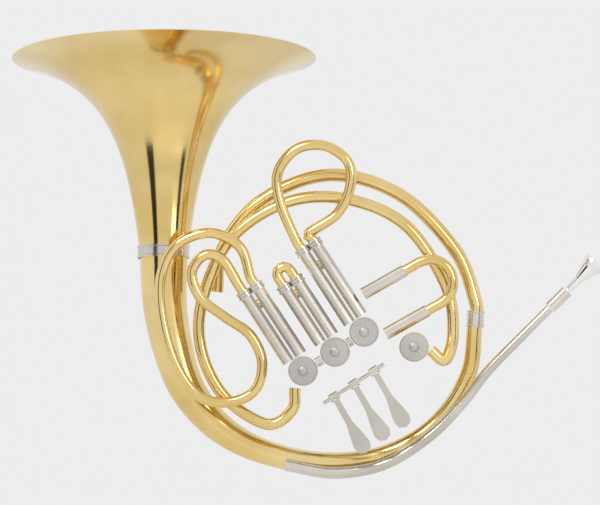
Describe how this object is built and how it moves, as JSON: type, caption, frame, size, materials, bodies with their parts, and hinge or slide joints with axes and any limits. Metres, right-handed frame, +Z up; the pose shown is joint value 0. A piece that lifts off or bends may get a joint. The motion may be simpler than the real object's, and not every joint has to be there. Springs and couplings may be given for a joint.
{
  "type": "double french horn",
  "caption": "Double french horn with flared bell, coiled tubing, rotary valves, finger levers, pull slides and a removable mouthpiece.",
  "frame": {"origin": "on the axis of the second valve, halfway along its casing", "axes": "+X to the right towards the mouthpiece, +Y away from the player's fingers and the valve caps, +Z up towards the mouth of the bell"},
  "size_m": [0.5929, 0.2988, 0.4498],
  "materials": {
    "yellow_brass": "polished and lacquered",
    "nickel_silver": "polished nickel silver",
    "silver_plate": "mirror silver plate"
  },
  "bodies": {
    "horn": {"bell_branch": "yellow_brass", "bell_flare": "yellow_brass", "inner_branch": "yellow_brass", "knuckle_1_2": "nickel_silver", "knuckle_2_3": "nickel_silver", "leadpipe": "nickel_silver", "lever_axle": "nickel_silver", "main_sleeve_lower": "nickel_silver", "main_sleeve_upper": "nickel_silver", "mouthpiece_receiver": "nickel_silver", "outer_branch": "yellow_brass", "thumb_valve_back_plate": "nickel_silver", "thumb_valve_cap": "nickel_silver", "thumb_valve_casing": "yellow_brass", "valve_1_b_sleeve_left": "nickel_silver", "valve_1_b_sleeve_right": "nickel_silver", "valve_1_back_plate": "nickel_silver", "valve_1_cap": "nickel_silver", "valve_1_casing": "nickel_silver", "valve_1_f_sleeve_left": "nickel_silver", "valve_1_f_sleeve_right": "nickel_silver", "valve_2_b_sleeve_left": "nickel_silver", "valve_2_b_sleeve_right": "nickel_silver", "valve_2_back_plate": "nickel_silver", "valve_2_cap": "nickel_silver", "valve_2_casing": "nickel_silver", "valve_2_f_sleeve_left": "nickel_silver", "valve_2_f_sleeve_right": "nickel_silver", "valve_3_b_sleeve_left": "nickel_silver", "valve_3_b_sleeve_right": "nickel_silver", "valve_3_back_plate": "nickel_silver", "valve_3_cap": "nickel_silver", "valve_3_casing": "nickel_silver", "valve_3_f_sleeve_left": "nickel_silver", "valve_3_f_sleeve_right": "nickel_silver"},
    "valve_1_f_slide": {"valve_1_f_slide": "yellow_brass"},
    "valve_2_f_slide": {"valve_2_f_slide": "yellow_brass"},
    "valve_3_f_slide": {"valve_3_f_slide": "yellow_brass"},
    "valve_1_b_slide": {"valve_1_b_slide": "yellow_brass"},
    "valve_2_b_slide": {"valve_2_b_slide": "yellow_brass"},
    "valve_3_b_slide": {"valve_3_b_slide": "yellow_brass"},
    "main_tuning_slide": {"main_tuning_slide": "yellow_brass"},
    "mouthpiece": {"mouthpiece": "silver_plate"},
    "lever_1": {"lever_1": "nickel_silver"},
    "lever_2": {"lever_2": "nickel_silver"},
    "lever_3": {"lever_3": "nickel_silver"},
    "valve_1_rotor": {"valve_1_rotor": "yellow_brass"},
    "valve_2_rotor": {"valve_2_rotor": "yellow_brass"},
    "valve_3_rotor": {"valve_3_rotor": "yellow_brass"},
    "thumb_valve_rotor": {"thumb_valve_rotor": "yellow_brass"}
  },
  "joints": [
    {"name": "valve_1_f_slide_pull", "type": "slide", "parent": "horn", "child": "valve_1_f_slide", "axis": [-0.5446, 0, 0.8387], "range_m": [0, 0.02]},
    {"name": "valve_2_f_slide_pull", "type": "slide", "parent": "horn", "child": "valve_2_f_slide", "axis": [-0.5446, 0, 0.8387], "range_m": [0, 0.02]},
    {"name": "valve_3_f_slide_pull", "type": "slide", "parent": "horn", "child": "valve_3_f_slide", "axis": [-0.5446, 0, 0.8387], "range_m": [0, 0.02]},
    {"name": "valve_1_b_slide_pull", "type": "slide", "parent": "horn", "child": "valve_1_b_slide", "axis": [-0.5446, 0, 0.8387], "range_m": [0, 0.02]},
    {"name": "valve_2_b_slide_pull", "type": "slide", "parent": "horn", "child": "valve_2_b_slide", "axis": [-0.5446, 0, 0.8387], "range_m": [0, 0.02]},
    {"name": "valve_3_b_slide_pull", "type": "slide", "parent": "horn", "child": "valve_3_b_slide", "axis": [-0.5446, 0, 0.8387], "range_m": [0, 0.02]},
    {"name": "main_tuning_slide_pull", "type": "slide", "parent": "horn", "child": "main_tuning_slide", "axis": [0.8712, 0, 0.4909], "range_m": [0, 0.025]},
    {"name": "mouthpiece_pull", "type": "slide", "parent": "horn", "child": "mouthpiece", "axis": [0.7071, 0, 0.7071], "range_m": [0, 0.04]},
    {"name": "lever_1_press", "type": "hinge", "parent": "horn", "child": "lever_1", "pos_m": [-0.00081, -0.024, -0.04465], "axis": [0.8387, 0, 0.5446], "range_deg": [0, 12], "stiffness_Nm_per_rad": 0.3, "springref_deg": -8.59},
    {"name": "lever_2_press", "type": "hinge", "parent": "horn", "child": "lever_2", "pos_m": [0.01889, -0.024, -0.03185], "axis": [0.8387, 0, 0.5446], "range_deg": [0, 12], "stiffness_Nm_per_rad": 0.3, "springref_deg": -8.59},
    {"name": "lever_3_press", "type": "hinge", "parent": "horn", "child": "lever_3", "pos_m": [0.03902, -0.024, -0.01878], "axis": [0.8387, 0, 0.5446], "range_deg": [0, 12], "stiffness_Nm_per_rad": 0.3, "springref_deg": -8.59},
    {"name": "valve_1_turn", "type": "hinge", "parent": "horn", "child": "valve_1_rotor", "pos_m": [-0.032, 0, -0.019], "axis": [0, 1, 0], "range_deg": [0, 90]},
    {"name": "valve_2_turn", "type": "hinge", "parent": "horn", "child": "valve_2_rotor", "pos_m": [0, 0, 0], "axis": [0, 1, 0], "range_deg": [0, 90]},
    {"name": "valve_3_turn", "type": "hinge", "parent": "horn", "child": "valve_3_rotor", "pos_m": [0.029, 0, 0.02], "axis": [0, 1, 0], "range_deg": [0, 90]},
    {"name": "thumb_valve_turn", "type": "hinge", "parent": "horn", "child": "thumb_valve_rotor", "pos_m": [0.079, 0, 0.005], "axis": [0, 1, 0], "range_deg": [0, 90], "stiffness_Nm_per_rad": 0.02, "springref_deg": -11.46}
  ],
  "couplings": [
    {"joint": "valve_1_turn", "follows": "lever_1_press", "ratio": 7.5},
    {"joint": "valve_2_turn", "follows": "lever_2_press", "ratio": 7.5},
    {"joint": "valve_3_turn", "follows": "lever_3_press", "ratio": 7.5}
  ]
}
